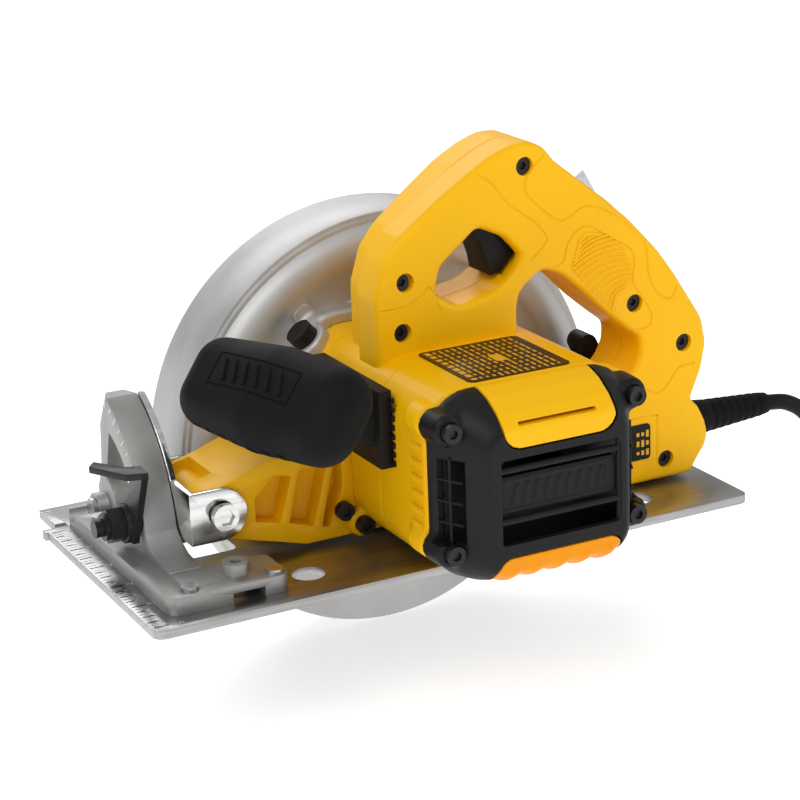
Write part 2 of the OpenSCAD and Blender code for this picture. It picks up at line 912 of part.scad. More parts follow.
// Axis of the spindle lock, from the spindle toward the upper front corner
module lock_axis() {
    translate([spindle_x, lock_y, spindle_z]) rotate([0, lock_a, 0]) children();
}

module lock_button() {
    color("black") lock_axis() {
        translate([0, 0, 75]) cylinder(r = 6.4, h = 11);
        translate([0, 0, 24]) cylinder(r = 2.5, h = 51);
    }
}

module lock_spring() {
    color("silver") lock_axis() translate([0, 0, 68.2]) coil(4.4, 0.5, 3.4, 2);
}

module lower_guard() {
    color("darkgray") difference() {
        union() {
            xz(38, 62) translate([spindle_x, spindle_z])
                band(20, lower_r, 184, 356);
            rod_y(spindle_x, spindle_z, 38, 40, 26);
            rod_y(spindle_x, spindle_z, 27.5, 39, 22);
        }
        // room for the blade, open toward the outer side
        rod_y(spindle_x, spindle_z, 40, 60, lower_r - 2.4);
        rod_y(spindle_x, spindle_z, 59, 64, lower_r - 12);
        rod_y(spindle_x, spindle_z, 20, 37, 17.5 + 0.08);
        rod_y(spindle_x, spindle_z, 20, 50, 16);
    }
}

// Thumb lever on the hub of the lower guard
module guard_lever() {
    color("black") difference() {
        xz(28, 33) translate([spindle_x, spindle_z]) union() {
            circle(25);
            bar([18, 0], [70, -32], 5);
        }
        rod_y(spindle_x, spindle_z, 20, 40, 22 + fit);
    }
}

module guard_spring() {
    color("silver") translate([spindle_x, 25.3, spindle_z]) rotate([-90, 0, 0])
        coil(20.3, 0.5, 2, 1);
}

// ---- turning parts ----

module armature_core() {
    color("chocolate") difference() {
        union() {
            rod_y(motor_x, motor_z, -82, -38, 22);
            rod_y(motor_x, motor_z, -86, -82, 17);
            rod_y(motor_x, motor_z, -38, -33, 17);
        }
        rod_y(motor_x, motor_z, -100, -20, 5 + fit / 2);
        for (i = [0 : 11])
            rotate_about(30 * i) box([-1, -83, 20.5], [1, -37, 24]);
    }
}

module motor_shaft() {
    color("gainsboro") {
        rod_y(motor_x, motor_z, -110, -100, 4);
        rod_y(motor_x, motor_z, -100, 2, 5);
        rod_y(motor_x, motor_z, 2, 5, 3.4);
        xz(5, 17) translate([motor_x, motor_z]) toothed(pinion_teeth, line_a + 180);
    }
}

module commutator() {
    color("peru") difference() {
        rod_y(motor_x, motor_z, -99, -86.5, 12);
        rod_y(motor_x, motor_z, -105, -80, 5 + fit / 2);
        for (i = [0 : 23])
            rotate_about(15 * i) box([-0.3, -100, 11.2], [0.3, -88.5, 13]);
    }
}

module cooling_fan() {
    color("dimgray") difference() {
        union() {
            rod_y(motor_x, motor_z, -28, -14, 9);
            rod_y(motor_x, motor_z, -28, -26, 33);
            for (i = [0 : 8])
                rotate_about(40 * i + 7) box([-0.9, -27, 7], [0.9, -15, 32]);
        }
        rod_y(motor_x, motor_z, -40, 0, 5 + fit / 2);
    }
}

module spindle() {
    color("gainsboro") difference() {
        union() {
            rod_y(spindle_x, spindle_z, -1, 3, 5);
            rod_y(spindle_x, spindle_z, 3, 44, 6);
        }
        rod_y(spindle_x, spindle_z, 30, 45, 4);
    }
}

module output_gear() {
    color("slategray") difference() {
        xz(6, 16) translate([spindle_x, spindle_z])
            toothed(gear_teeth, line_a + 180 / gear_teeth);
        rod_y(spindle_x, spindle_z, 0, 20, 6 + fit / 2);
    }
}

module blade_flanges() {
    color("gray") {
        difference() {
            union() {
                rod_y(spindle_x, spindle_z, 44, blade_y - blade_t / 2, 20);
                rod_y(spindle_x, spindle_z, 34.6, 44, 9);
                rod_y(spindle_x, spindle_z, 44, blade_y + 0.6, 7.95);
            }
            rod_y(spindle_x, spindle_z, 30, 44, 6 + fit / 2);
            rod_y(spindle_x, spindle_z, 40, 60, 4 + fit / 2);
        }
        tube_y(spindle_x, spindle_z, blade_y + blade_t / 2, 54, 20, 4 + fit / 2);
    }
}

// Saw blade: each tooth has its tip, back, gullet and face
module blade() {
    step = 360 / blade_teeth;
    color("silver") difference() {
        xz(blade_y - blade_t / 2, blade_y + blade_t / 2)
            translate([spindle_x, spindle_z])
            polygon([for (i = [0 : blade_teeth - 1],
                p = [[0, 1], [0.16, 0.985], [0.62, 0.955], [0.84, 0.91], [0.97, 0.93]])
                blade_r * p[1] * [cos((i + p[0]) * step), sin((i + p[0]) * step)]]);
        rod_y(spindle_x, spindle_z, 40, 60, 8);
        for (a = [30 : 90 : 300])
            xz(40, 60) translate([spindle_x, spindle_z])
                band(59, 61, a, a + 14);
    }
}

module blade_bolt() {
    color("dimgray") {
        translate([spindle_x, 61, spindle_z]) rotate([90, 0, 0])
            cylinder(r = 7.5, h = 5.6, $fn = 6);
        rod_y(spindle_x, spindle_z, 54, 55.5, 9);
        rod_y(spindle_x, spindle_z, 36, 54.2, 3.98);
    }
}

// ---- cord ----

exit_z = 26;
boot_end = 196;
// Route of the cord from the boot to the coil, as points on its centre line
CORD_ROUTE = [[196, -29.5, 26], [209, -29.5, 23.5], [222, -29.5, 14], [233, -30, -3],
    [243, -31, -24], [255, -34, -46], [272, -39, -61], [295, -46, -67.3],
    [323, -56, -67.3], [352, -66, -67.3], [376, -73, -67.3], [393, -76, -67.3]];
coil_x = 412;
coil_y = -20;
coil_in = 28;
coil_out = 60;
coil_h = 16;
plug_x = 350;
plug_y = 40;

function smooth(p, i, t) = let (
    n = len(p) - 1,
    a = p[max(i - 1, 0)], b = p[i], c = p[i + 1], d = p[min(i + 2, n)])
    0.5 * (2 * b + (c - a) * t + (2 * a - 5 * b + 4 * c - d) * t * t
        + (3 * b - 3 * c + d - a) * t * t * t);

function unit(v) = v / norm(v);

module power_cord() {
    per = 4;
    n = len(CORD_ROUTE) - 1;
    line = [for (i = [0 : n - 1], k = [0 : per - 1]) smooth(CORD_ROUTE, i, k / per)];
    pts = concat(line, [CORD_ROUTE[n]]);
    m = len(pts) - 1;
    color("black") skin([for (i = [0 : m]) let (
        t = unit(pts[min(i + 1, m)] - pts[max(i - 1, 0)]),
        u = unit(cross([0, 0, 1], t)), v = cross(t, u))
        ring_points(pts[i], u, v, cord_r, 8)], 8);
}

module cord_coil() {
    color("black") translate([coil_x, coil_y, floor_z]) rotate_extrude()
        translate([coil_in, 0]) square([coil_out - coil_in, coil_h]);
}

module cord_boot() {
    color("black") {
        rod_x(grip_ym, exit_z, 136, 151, 7);
        translate([150.4, grip_ym, exit_z]) rotate([0, 90, 0])
            cylinder(r1 = 9, r2 = 5.2, h = boot_end - 150.4);
    }
}

module plug_body() {
    color("black") translate([plug_x, plug_y, floor_z]) {
        box([-26, -17, 0], [8, 17, 30]);
        translate([8, 0, 15]) rotate([0, 90, 0]) cylinder(r1 = 13, r2 = 5.5, h = 30);
    }
}

module plug_pins() {
    color("gainsboro") translate([plug_x - 26, plug_y, floor_z + 15]) {
        for (s = [-1, 1])
            box([-17, 6.4 * s - 0.8, -3.2], [0, 6.4 * s + 0.8, 3.2]);
        translate([-20, 0, 11]) rotate([0, 90, 0]) cylinder(r = 2.4, h = 20);
    }
}

shoe_plate();
bevel_quadrant();
shoe_rivets();
rear_hinge_lug();
hinge_pins();
tilt_plate();
depth_bracket();
depth_pivot_bolt();
bevel_bolt();
bevel_lever();
bevel_nut();
motor_housing();
front_arm();
end_cap();
top_insert();
bottom_insert();
case_screws();
data_label();
upper_guard();
gear_plate();
handle_left();
handle_right();
handle_screws();
foot_badge();
switch_body();
trigger();
trigger_spring();
brush_plate();
brush_holders();
carbon_brushes();
brush_springs();
stator_core();
field_coils();
rear_bearing();
front_bearing();
spindle_bearing();
aux_base();
aux_grip();
depth_bolt();
depth_lever();
lock_button();
lock_spring();
lower_guard();
guard_lever();
guard_spring();
armature_core();
motor_shaft();
commutator();
cooling_fan();
spindle();
output_gear();
blade_flanges();
blade();
blade_bolt();
power_cord();
cord_coil();
cord_boot();
plug_body();
plug_pins();
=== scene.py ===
import json
import math

import bmesh
import bpy
from mathutils import Matrix, Vector


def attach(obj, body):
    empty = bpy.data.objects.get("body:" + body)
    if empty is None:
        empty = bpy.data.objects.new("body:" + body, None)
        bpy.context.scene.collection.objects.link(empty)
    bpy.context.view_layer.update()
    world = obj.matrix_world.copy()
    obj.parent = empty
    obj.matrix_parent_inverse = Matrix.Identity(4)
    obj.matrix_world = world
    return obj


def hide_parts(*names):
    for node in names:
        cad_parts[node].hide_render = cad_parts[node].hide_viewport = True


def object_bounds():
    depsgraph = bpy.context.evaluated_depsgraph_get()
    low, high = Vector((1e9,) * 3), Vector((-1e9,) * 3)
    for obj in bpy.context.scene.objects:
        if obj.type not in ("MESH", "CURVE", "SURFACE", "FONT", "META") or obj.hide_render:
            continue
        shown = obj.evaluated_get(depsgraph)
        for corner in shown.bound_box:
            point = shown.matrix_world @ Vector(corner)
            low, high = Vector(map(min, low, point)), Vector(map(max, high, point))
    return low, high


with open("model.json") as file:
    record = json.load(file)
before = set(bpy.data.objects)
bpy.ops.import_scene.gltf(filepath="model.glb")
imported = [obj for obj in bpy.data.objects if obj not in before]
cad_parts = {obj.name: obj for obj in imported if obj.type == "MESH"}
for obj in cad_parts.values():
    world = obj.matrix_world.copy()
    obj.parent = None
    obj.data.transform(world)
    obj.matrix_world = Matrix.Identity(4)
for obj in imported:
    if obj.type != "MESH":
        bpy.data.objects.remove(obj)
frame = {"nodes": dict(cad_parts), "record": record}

BOX_LOW, BOX_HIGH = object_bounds()
MM = 0.001
FLOOR = BOX_LOW.z
INCH = 25.4

# Places on the saw, in millimetres: X from front to rear, Y toward the blade, Z up
SPINDLE_X, SPINDLE_Z = 20, 27
HINGE_Y, HINGE_Z = 50, 12
QUADRANT_R, QUADRANT_FRONT = 69, -127.1
SHOE_FRONT, SHOE_TOP = -148, 4.0
SCALE_ZERO, SCALE_LENGTH = 50, 131
HOUSE = (-32, 8, 66, 92)
HOUSE_ROUND, CASE_WALL = 20, 3
CASE_FRONT, CASE_BACK, CAP_FRONT = -104, 14.5, -130
EARS = [(-28, 79), (-28, 25), (62, 79), (62, 25)]
EAR_R = 7.5
ARM_SCREW = (-30, 12.5)
LABEL_TOP = 92.52
BADGE_FACE = -48.6
LOCK_AXIS = (-0.651, 0, 0.759)
LOCK_Y = 11
GRIP_START = Vector((-76.5, -125.5, 94.5))
GRIP_AHEAD = Vector((-0.2924, 0.9563, 0))
ALONG_Y = (0, 1, 0)

# Width of the rounded edge on CAD nodes that keep their shape
SOFT_EDGES = {
    "shoe_plate": 0.6, "bevel_quadrant": 0.8, "tilt_plate": 0.6, "front_arm": 1.2,
    "lower_guard": 0.6, "trigger": 2.0, "aux_base": 1.0, "depth_lever": 1.0,
    "guard_lever": 1.0, "bevel_lever": 0.8}


# ---- camera ----

CAMERA_PLACE = (-0.4555, -0.9235, 0.3949)
CAMERA_TURN = (-26.72, 18.27, -2.23)  # heading, lift and lean in degrees
CAMERA_LENS, CAMERA_SENSOR = 105.27, 36


def set_camera():
    """Camera at the three-quarter view from the front and the motor side."""
    heading, lift, lean = (math.radians(a) for a in CAMERA_TURN)
    back = Vector((math.sin(heading) * math.cos(lift), -math.cos(heading) * math.cos(lift),
                   math.sin(lift)))
    level = Vector((math.cos(heading), math.sin(heading), 0))
    upright = back.cross(level)
    right = math.cos(lean) * level + math.sin(lean) * upright
    top = math.cos(lean) * upright - math.sin(lean) * level
    data = bpy.data.cameras.new("camera")
    data.lens = CAMERA_LENS
    data.sensor_width = CAMERA_SENSOR
    data.clip_start = 0.05
    camera = bpy.data.objects.new("camera", data)
    turn = Matrix((right, top, back)).transposed().to_4x4()
    camera.matrix_world = Matrix.Translation(CAMERA_PLACE) @ turn
    bpy.context.collection.objects.link(camera)
    bpy.context.scene.camera = camera


# ---- finishes ----

class Finish:
    """Node material that is built up in steps on Object coordinates."""

    def __init__(self, name, colour, roughness, metallic=0.0):
        self.material = bpy.data.materials.new(name)
        self.material.use_nodes = True
        self.tree = self.material.node_tree
        self.shader = self.tree.nodes["Principled BSDF"]
        self.shader.inputs["Base Color"].default_value = (*colour, 1)
        self.shader.inputs["Roughness"].default_value = roughness
        self.shader.inputs["Metallic"].default_value = metallic
        self.colour = colour
        self.place = self.add("ShaderNodeTexCoord").outputs["Object"]
        self.normal = None

    def add(self, kind):
        return self.tree.nodes.new(kind)

    def link(self, start, end):
        self.tree.links.new(start, end)

    def stretched(self, scale):
        node = self.add("ShaderNodeMapping")
        node.inputs["Scale"].default_value = scale
        self.link(self.place, node.inputs["Vector"])
        return node.outputs["Vector"]

    def noise(self, scale, detail=3.0, stretch=None):
        node = self.add("ShaderNodeTexNoise")
        node.inputs["Scale"].default_value = scale
        node.inputs["Detail"].default_value = detail
        self.link(self.stretched(stretch) if stretch else self.place, node.inputs["Vector"])
        return node.outputs["Fac"]

    def spread(self, value, low, high):
        """Noise that mostly lies between 0.3 and 0.7, spread from low to high."""
        node = self.add("ShaderNodeMapRange")
        node.inputs["From Min"].default_value = 0.3
        node.inputs["From Max"].default_value = 0.7
        node.inputs["To Min"].default_value = low
        node.inputs["To Max"].default_value = high
        self.link(value, node.inputs["Value"])
        return node.outputs["Result"]

    def shade(self, value, dark, light):
        """Colour that runs from dark to light times the base colour."""
        node = self.add("ShaderNodeMix")
        node.data_type = "RGBA"
        node.inputs["A"].default_value = (*(c * dark for c in self.colour), 1)
        node.inputs["B"].default_value = (*(min(1, c * light) for c in self.colour), 1)
        self.link(value, node.inputs["Factor"])
        self.link(node.outputs["Result"], self.shader.inputs["Base Color"])
        return self

    def gloss(self, value, low, high):
        self.link(self.spread(value, low, high), self.shader.inputs["Roughness"])
        return self

    def bump(self, value, height, distance=0.001):
        node = self.add("ShaderNodeBump")
        node.inputs["Strength"].default_value = height
        node.inputs["Distance"].default_value = distance
        self.link(value, node.inputs["Height"])
        if self.normal:
            self.link(self.normal, node.inputs["Normal"])
        self.normal = node.outputs["Normal"]
        self.link(self.normal, self.shader.inputs["Normal"])
        return self


def moulded(name, colour, roughness, grain=1400, depth=0.25, gloss=0.3):
    """Spark-eroded plastic: fine grain, faint flow shading and handling gloss."""
    made = Finish(name, colour, roughness)
    made.shader.inputs["Specular IOR Level"].default_value = gloss
    fine = made.noise(grain, 2)
    slow = made.noise(14, 4)
    made.shade(made.spread(slow, 0, 1), 0.94, 1.03)
    made.gloss(slow, roughness - 0.06, roughness + 0.08)
    made.bump(fine, depth, 0.00018)
    return made.material


def cast(name, colour, roughness, grain=420, depth=0.5):
    """Die-cast alloy: shallow orange peel, cloudy tone and a few darker specks."""
    made = Finish(name, colour, roughness, metallic=0.85)
    cloud = made.noise(22, 5)
    speck = made.noise(900, 2)
    made.shade(made.spread(cloud, 0, 1), 0.8, 1.08)
    made.gloss(cloud, roughness - 0.08, roughness + 0.12)
    made.bump(made.noise(grain, 4), depth, 0.0002)
    made.bump(speck, depth * 0.5, 0.0001)
    return made.material


def brushed(name, colour, roughness, stretch, depth=0.35):
    """Sheet or turned metal with fine lines, long along the small stretch axis."""
    made = Finish(name, colour, roughness, metallic=1.0)
    lines = made.noise(1, 5, stretch)
    cloud = made.noise(9, 4)
    made.shade(made.spread(lines, 0, 1), 0.8, 1.1)
    made.gloss(cloud, roughness - 0.1, roughness + 0.12)
    made.bump(lines, depth, 0.00012)
    return made.material


def rubbery(name, colour, roughness):
    """Soft black rubber: matt, patchy and finely pitted."""
    made = Finish(name, colour, roughness)
    made.shader.inputs["Specular IOR Level"].default_value = 0.1
    made.shade(made.spread(made.noise(30, 4), 0, 1), 0.75, 1.35)
    made.gloss(made.noise(18, 3), roughness - 0.08, roughness + 0.1)
    made.bump(made.noise(2200, 2), 0.3, 0.00015)
    return made.material


YELLOW = moulded("yellow_plastic", (0.93, 0.5, 0.0), 0.4, gloss=0.2)
# Painted shade: a deeper, more orange copy of the yellow plastic for the insert under the cap
YELLOW_IN_PAINTED_SHADE = moulded("orange_plastic", (0.86, 0.3, 0.0), 0.42, gloss=0.2)
BLACK = moulded("black_plastic", (0.008, 0.008, 0.008), 0.46, 1100, 0.3, 0.2)
SHOE = brushed("rolled_aluminium", (0.4, 0.4, 0.395), 0.36, (30, 900, 900))
CAST = cast("cast_alloy", (0.4, 0.4, 0.39), 0.48)
GUARD = cast("guard_alloy", (0.6, 0.6, 0.6), 0.55, 700, 0.35)
ZINC = brushed("zinc_plate", (0.72, 0.72, 0.71), 0.24, (40, 40, 500), 0.2)
STEEL = brushed("turned_steel", (0.55, 0.55, 0.56), 0.32, (500, 60, 500), 0.25)
BLADE = brushed("ground_blade", (0.6, 0.61, 0.62), 0.3, (500, 60, 500), 0.25)
BOLT_BLACK = moulded("blackened_steel", (0.012, 0.012, 0.012), 0.36, 800, 0.2, 0.3)
RUBBER = rubbery("soft_rubber", (0.006, 0.006, 0.006), 0.62)
JACKET = rubbery("cord_jacket", (0.008, 0.008, 0.008), 0.48)
COPPER = brushed("copper_wire", (0.85, 0.36, 0.16), 0.35, (200, 900, 200), 0.5)
BRASS = brushed("brass_sheet", (0.8, 0.58, 0.25), 0.3, (500, 90, 90), 0.2)
CORE = brushed("core_laminations", (0.22, 0.22, 0.23), 0.5, (60, 1600, 60), 0.6)
# Painted highlight: the raised marks get a lighter copy of the metal for the light they catch
MARKS = brushed("raised_marks_painted_highlight", (0.86, 0.86, 0.85), 0.5, (200, 200, 200), 0.1)
FILM = moulded("label_film", (0.03, 0.012, 0.006), 0.4)
PRINT = moulded("label_print", (0.75, 0.4, 0.02), 0.45)
CARBON = moulded("pressed_carbon", (0.03, 0.03, 0.03), 0.6, 900, 0.5)

NODE_FINISH = {
    "shoe_plate": SHOE, "bevel_quadrant": CAST, "shoe_rivets": STEEL, "rear_hinge_lug": STEEL,
    "hinge_pins": STEEL, "tilt_plate": ZINC, "depth_bracket": STEEL, "depth_pivot_bolt": ZINC,
    "bevel_bolt": BOLT_BLACK, "bevel_lever": BOLT_BLACK, "bevel_nut": BOLT_BLACK,
    "motor_housing": YELLOW, "front_arm": YELLOW, "end_cap": BLACK, "top_insert": YELLOW,
    "bottom_insert": YELLOW_IN_PAINTED_SHADE, "case_screws": BOLT_BLACK, "upper_guard": GUARD,
    "gear_plate": CAST, "handle_left": YELLOW, "handle_right": YELLOW,
    "handle_screws": BOLT_BLACK, "switch_body": BLACK, "trigger": BLACK,
    "trigger_spring": STEEL, "brush_plate": BLACK, "brush_holders": BRASS,
    "carbon_brushes": CARBON, "brush_springs": STEEL, "stator_core": CORE,
    "field_coils": COPPER, "rear_bearing": STEEL, "front_bearing": STEEL,
    "spindle_bearing": STEEL, "aux_base": BLACK, "aux_grip": RUBBER, "depth_bolt": STEEL,
    "depth_lever": BLACK, "lock_button": BLACK, "lock_spring": STEEL,
    "lower_guard": GUARD, "guard_lever": BLACK, "guard_spring": STEEL,
    "armature_core": CORE, "motor_shaft": STEEL, "commutator": COPPER,
    "cooling_fan": BLACK, "spindle": STEEL, "output_gear": CORE, "blade_flanges": STEEL,
    "blade": BLADE, "blade_bolt": BOLT_BLACK, "plug_body": RUBBER, "plug_pins": BRASS,
    "cord_boot": RUBBER, "data_label": FILM, "foot_badge": BLACK,
}


def dress_nodes():
    for node, finish in NODE_FINISH.items():
        for slot in frame["nodes"][node].material_slots:
            slot.material = finish


# ---- mesh helpers ----

def body_with(node):
    for body, nodes in frame["record"]["behaviour"]["bodies"].items():
        if node in nodes:
            return body
    raise ValueError(node)


def add_piece(name, mesh, finish, body):
    """New piece with one finish that moves with a body."""
    piece = bpy.data.objects.new(name, mesh)
    bpy.context.collection.objects.link(piece)
    mesh.materials.clear()
    mesh.materials.append(finish)
    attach(piece, body)
    return piece


def settle(piece):
    """Turns the piece's modifiers into its mesh."""
    graph = bpy.context.evaluated_depsgraph_get()
    made = bpy.data.meshes.new_from_object(piece.evaluated_get(graph))
    piece.modifiers.clear()
    piece.data = made


def merged_copy(node):
    """Copy of a CAD node's mesh with its loose triangles joined."""
    shape = bmesh.new()
    shape.from_mesh(frame["nodes"][node].data)
    bmesh.ops.remove_doubles(shape, verts=shape.verts, dist=0.00002)
    return shape


def soften(node, width):
    """Copy of a CAD node with rounded edges, which stands for the node."""
    shape = merged_copy(node)
    bmesh.ops.dissolve_limit(shape, angle_limit=math.radians(1.5), verts=shape.verts,
                             edges=shape.edges)
    name = node + "_shape"
    piece = add_piece(name, bmesh_to_mesh(name, shape), NODE_FINISH[node], body_with(node))
    bevel = piece.modifiers.new("edges", "BEVEL")
    bevel.width = width
    bevel.segments = 2
    bevel.limit_method = "ANGLE"
    bevel.angle_limit = math.radians(32)
    bevel.use_clamp_overlap = True
    bevel.miter_outer = "MITER_ARC"
    settle(piece)
    shade(piece)
    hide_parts(node)


# ---- mouldings ----

def prism(shape, outline, y0, y1):
    """Adds an outline in X and Z, pulled from y0 to y1, all in millimetres."""
    near = [shape.verts.new((x * MM, y0 * MM, z * MM)) for x, z in outline]
    far = [shape.verts.new((x * MM, y1 * MM, z * MM)) for x, z in outline]
    faces = [shape.faces.new(near), shape.faces.new(far[::-1])]
    for i in range(len(outline)):
        j = (i + 1) % len(outline)
        faces.append(shape.faces.new((near[j], near[i], far[i], far[j])))
    bmesh.ops.recalc_face_normals(shape, faces=faces)


def rounded(x0, z0, x1, z1, r, steps=6):
    """Outline of a rectangle with round corners."""
    points = []
    for cx, cz, start in ((x1 - r, z1 - r, 0), (x0 + r, z1 - r, 90), (x0 + r, z0 + r, 180),
                          (x1 - r, z0 + r, 270)):
        for i in range(steps + 1):
            a = math.radians(start + 90 * i / steps)
            points.append((cx + r * math.cos(a), cz + r * math.sin(a)))
    return points


def disc(x, z, r):
    """Outline of a circle."""
    turns = [2 * math.pi * i / 32 for i in range(32)]
    return [(x + r * math.cos(a), z + r * math.sin(a)) for a in turns]


def bmesh_to_mesh(name, shape):
    mesh = bpy.data.meshes.new(name)
    shape.to_mesh(mesh)
    shape.free()
    return mesh


def prisms(name, blocks):
    shape = bmesh.new()
    for outline, y0, y1 in blocks:
        prism(shape, outline, y0, y1)
    return bmesh_to_mesh(name, shape)


def carve(piece, mesh, operation="DIFFERENCE"):
    """Takes a closed mesh away from a piece, or keeps only what lies inside it."""
    cutter = bpy.data.objects.new("cutter", mesh)
    bpy.context.collection.objects.link(cutter)
    cut = piece.modifiers.new("cut", "BOOLEAN")
    cut.operation = operation
    cut.solver = "MANIFOLD"
    cut.object = cutter
    bpy.context.view_layer.update()
    settle(piece)
    bpy.data.objects.remove(cutter)


def shade(piece, angle=38):
    """Smooth faces with sharp edges where they turn by more than the angle."""
    for face in piece.data.polygons:
        face.use_smooth = True
    piece.data.set_sharp_from_angle(angle=math.radians(angle))


def refinish(piece, finish, angle=42):
    piece.data.materials.clear()
    piece.data.materials.append(finish)
    shade(piece, angle)


def blend_solid(piece, finish, voxel, passes, angle=42):
    """Melts a piece's overlapping shapes together and rounds them."""
    join = piece.modifiers.new("join", "REMESH")
    join.mode = "VOXEL"
    join.voxel_size = voxel * MM
    ease = piece.modifiers.new("ease", "SMOOTH")
    ease.factor = 0.5
    ease.iterations = passes
    bpy.context.view_layer.update()
    settle(piece)
    refinish(piece, finish, angle)


def moulding(name, body, finish, blocks, edge, voxel, passes, holes=()):
    """Rounded plastic part: blocks are joined, bevelled by edge and blended together."""
    piece = add_piece(name, prisms(name, blocks), finish, body)
    if holes:
        carve(piece, prisms("holes", holes))
    bevel = piece.modifiers.new("edges", "BEVEL")
    bevel.width = edge * MM
    bevel.segments = 3
    bevel.limit_method = "ANGLE"
    bevel.angle_limit = math.radians(50)
    bevel.use_clamp_overlap = True
    bevel.loop_slide = False
    blend_solid(piece, finish, voxel, passes, 38)
    return piece


def ring(shape, centre, side, over, r, steps):
    """Circle of vertices about a centre in metres; r is in millimetres."""
    turns = [2 * math.pi * k / steps for k in range(steps)]
    return [shape.verts.new(centre + r * MM * (math.cos(a) * side + math.sin(a) * over))
            for a in turns]


def join_rings(shape, rings):
    """Skin along rings of equal length, with a cap at each end."""
    steps = len(rings[0])
    faces = [shape.faces.new(rings[0][::-1]), shape.faces.new(rings[-1])]
    for a, b in zip(rings, rings[1:]):
        for k in range(steps):
            m = (k + 1) % steps
            faces.append(shape.faces.new((a[k], a[m], b[m], b[k])))
    bmesh.ops.recalc_face_normals(shape, faces=faces)


def line_tubes(name, lines, r, steps=8):
    """Round bars of radius r along lines of points, in millimetres."""
    shape = bmesh.new()
    for line in lines:
        points = [Vector(p) * MM for p in line]
        rings = []
        for i, point in enumerate(points):
            ahead = (points[min(i + 1, len(points) - 1)] - points[max(i - 1, 0)]).normalized()
            side = ahead.cross(Vector((0, 1, 0.01))).normalized()
            rings.append(ring(shape, point, side, ahead.cross(side), r, steps))
        join_rings(shape, rings)
    return bmesh_to_mesh(name, shape)


def eased(points, per=4):
    """Smooth line through the points, with per steps between two of them."""
    out = []
    n = len(points)
    for i in range(n - 1):
        a, b = points[max(i - 1, 0)], points[i]
        c, d = points[i + 1], points[min(i + 2, n - 1)]
        for k in range(per):
            t = k / per
            out.append(tuple(0.5 * (2 * q + (r - p) * t + (2 * p - 5 * q + 4 * r - w) * t * t
                                    + (3 * q - 3 * r + w - p) * t ** 3)
                             for p, q, r, w in zip(a, b, c, d)))
    out.append(points[-1])
    return out


# ---- handle ----

HANDLE_NEAR, HANDLE_SPLIT, HANDLE_FAR = -48, -29.5, -11
HANDLE_SCREWS = [(51, 167.5), (-10, 124), (-12, 101.5), (108, 95.5), (135, 72), (125, 16)]
TRIGGER_GAP = [(5, 116), (8, 128), (27, 143), (40, 137), (49, 127), (46, 121),
               (40, 115.5), (34, 112), (16, 109)]
TRIGGER_ROOM = [(36.5, 158), (51.5, 158), (56, 142), (52, 126), (44, 117.5), (30, 118),
                (26, 141), (31, 148)]
HANDLE_GROOVES = [
    [(12, 174), (32, 164), (42, 152), (55, 142), (61, 135), (61, 131), (53, 124)],
    [(62, 172), (53, 164), (51, 157), (56, 150), (67, 141), (73, 141), (82, 145), (94, 141),
     (107, 131), (114, 122), (115, 112), (117, 104), (122, 97), (128, 95), (131, 100)],
    [(62, 119), (70, 121), (73, 130), (82, 136), (94, 129), (107, 120), (107, 106), (112, 98),
     (117, 89), (115, 83), (101, 84)],
    [(141, 61), (132, 60), (127, 54), (122, 50), (117, 51), (104, 58), (92, 65)],
    [(-27, 113), (-12, 113), (-2, 117), (2, 120), (7, 109)],
    [(92, 39), (118, 39), (120, 36), (120, 14)]]
PATCH_LOW = [(78, 127), (76, 122), (75, 117), (80, 111), (88, 102), (96, 94)]
PATCH_HIGH = [(86, 132), (94, 130), (101, 124), (105, 116), (106, 109), (102, 103)]


def handle_side(front):
    """Outline in X and Z; front sets its front edge back."""
    return [(-25 + front, 84), (-25 + front, 118), (-20 + front, 134), (-12 + front, 144),
            (8 + front / 2, 158), (24, 168), (36, 174.5), (46, 178), (55, 178), (62, 174.5),
            (67, 168), (80, 157.5), (94, 146.5), (106, 135.5), (117, 124), (123, 117),
            (131, 106), (139, 93.5), (146, 82.5), (148.5, 70), (146, 57.5), (141, 46),
            (139.5, 43.5), (144.5, 38.5), (148.5, 30.5), (149.5, 24), (148.5, 18.5),
            (144.5, 13.5), (141, 8), (141, 6), (68, 6), (68, 46), (84, 46), (93, 49.5),
            (102, 56.5), (108, 63), (111.5, 70), (111.5, 78), (102, 85.5), (91, 95),
            (79, 107), (71, 114), (64, 117.5), (59, 118.5), (53, 114.5), (48, 110),
            (46.5, 104), (46.5, 88), (40, 84)]


def make_handle_half(node, y0, y1, front):
    shell = moulding(node + "_shell", "saw", YELLOW, [(handle_side(front), y0, y1)],
                     9.5, 1.2, 16, [(TRIGGER_GAP, y0 - 5, y1 + 5)])
    near_side = y0 == HANDLE_NEAR
    away = (HANDLE_SPLIT - 0.1, 30) if near_side else (-90, HANDLE_SPLIT + 0.1)
    carve(shell, prisms("other_half", [(rounded(-200, -50, 300, 300, 5), *away)]))
    carve(shell, prisms("room", [(TRIGGER_ROOM, HANDLE_NEAR + 5, HANDLE_FAR - 5)]))
    if near_side:
        pockets = [(disc(x, z, 4.3), HANDLE_NEAR - 3, HANDLE_NEAR + 4) for x, z in HANDLE_SCREWS]
        lines = [[(x, HANDLE_NEAR - 0.05, z) for x, z in eased(g)] for g in HANDLE_GROOVES]
        carve(shell, prisms("pockets", pockets))
        carve(shell, line_tubes("lines", lines, 0.55))
    refinish(shell, YELLOW)
    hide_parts(node)
    return shell


def patch_rib(shell, start, end):
    """Bowed line on the handle's near face between two points in X and Z."""
    rib = []
    for k in range(9):
        t = k / 8
        x = start[0] + (end[0] - start[0]) * t - 1.2 * math.sin(math.pi * t)
        z = start[1] + (end[1] - start[1]) * t + 2.2 * math.sin(math.pi * t)
        hit, place, _, _ = shell.ray_cast(Vector((x, -80, z)) * MM, Vector((0, 1, 0)))
        if hit:
            rib.append(tuple(place / MM))
    return rib


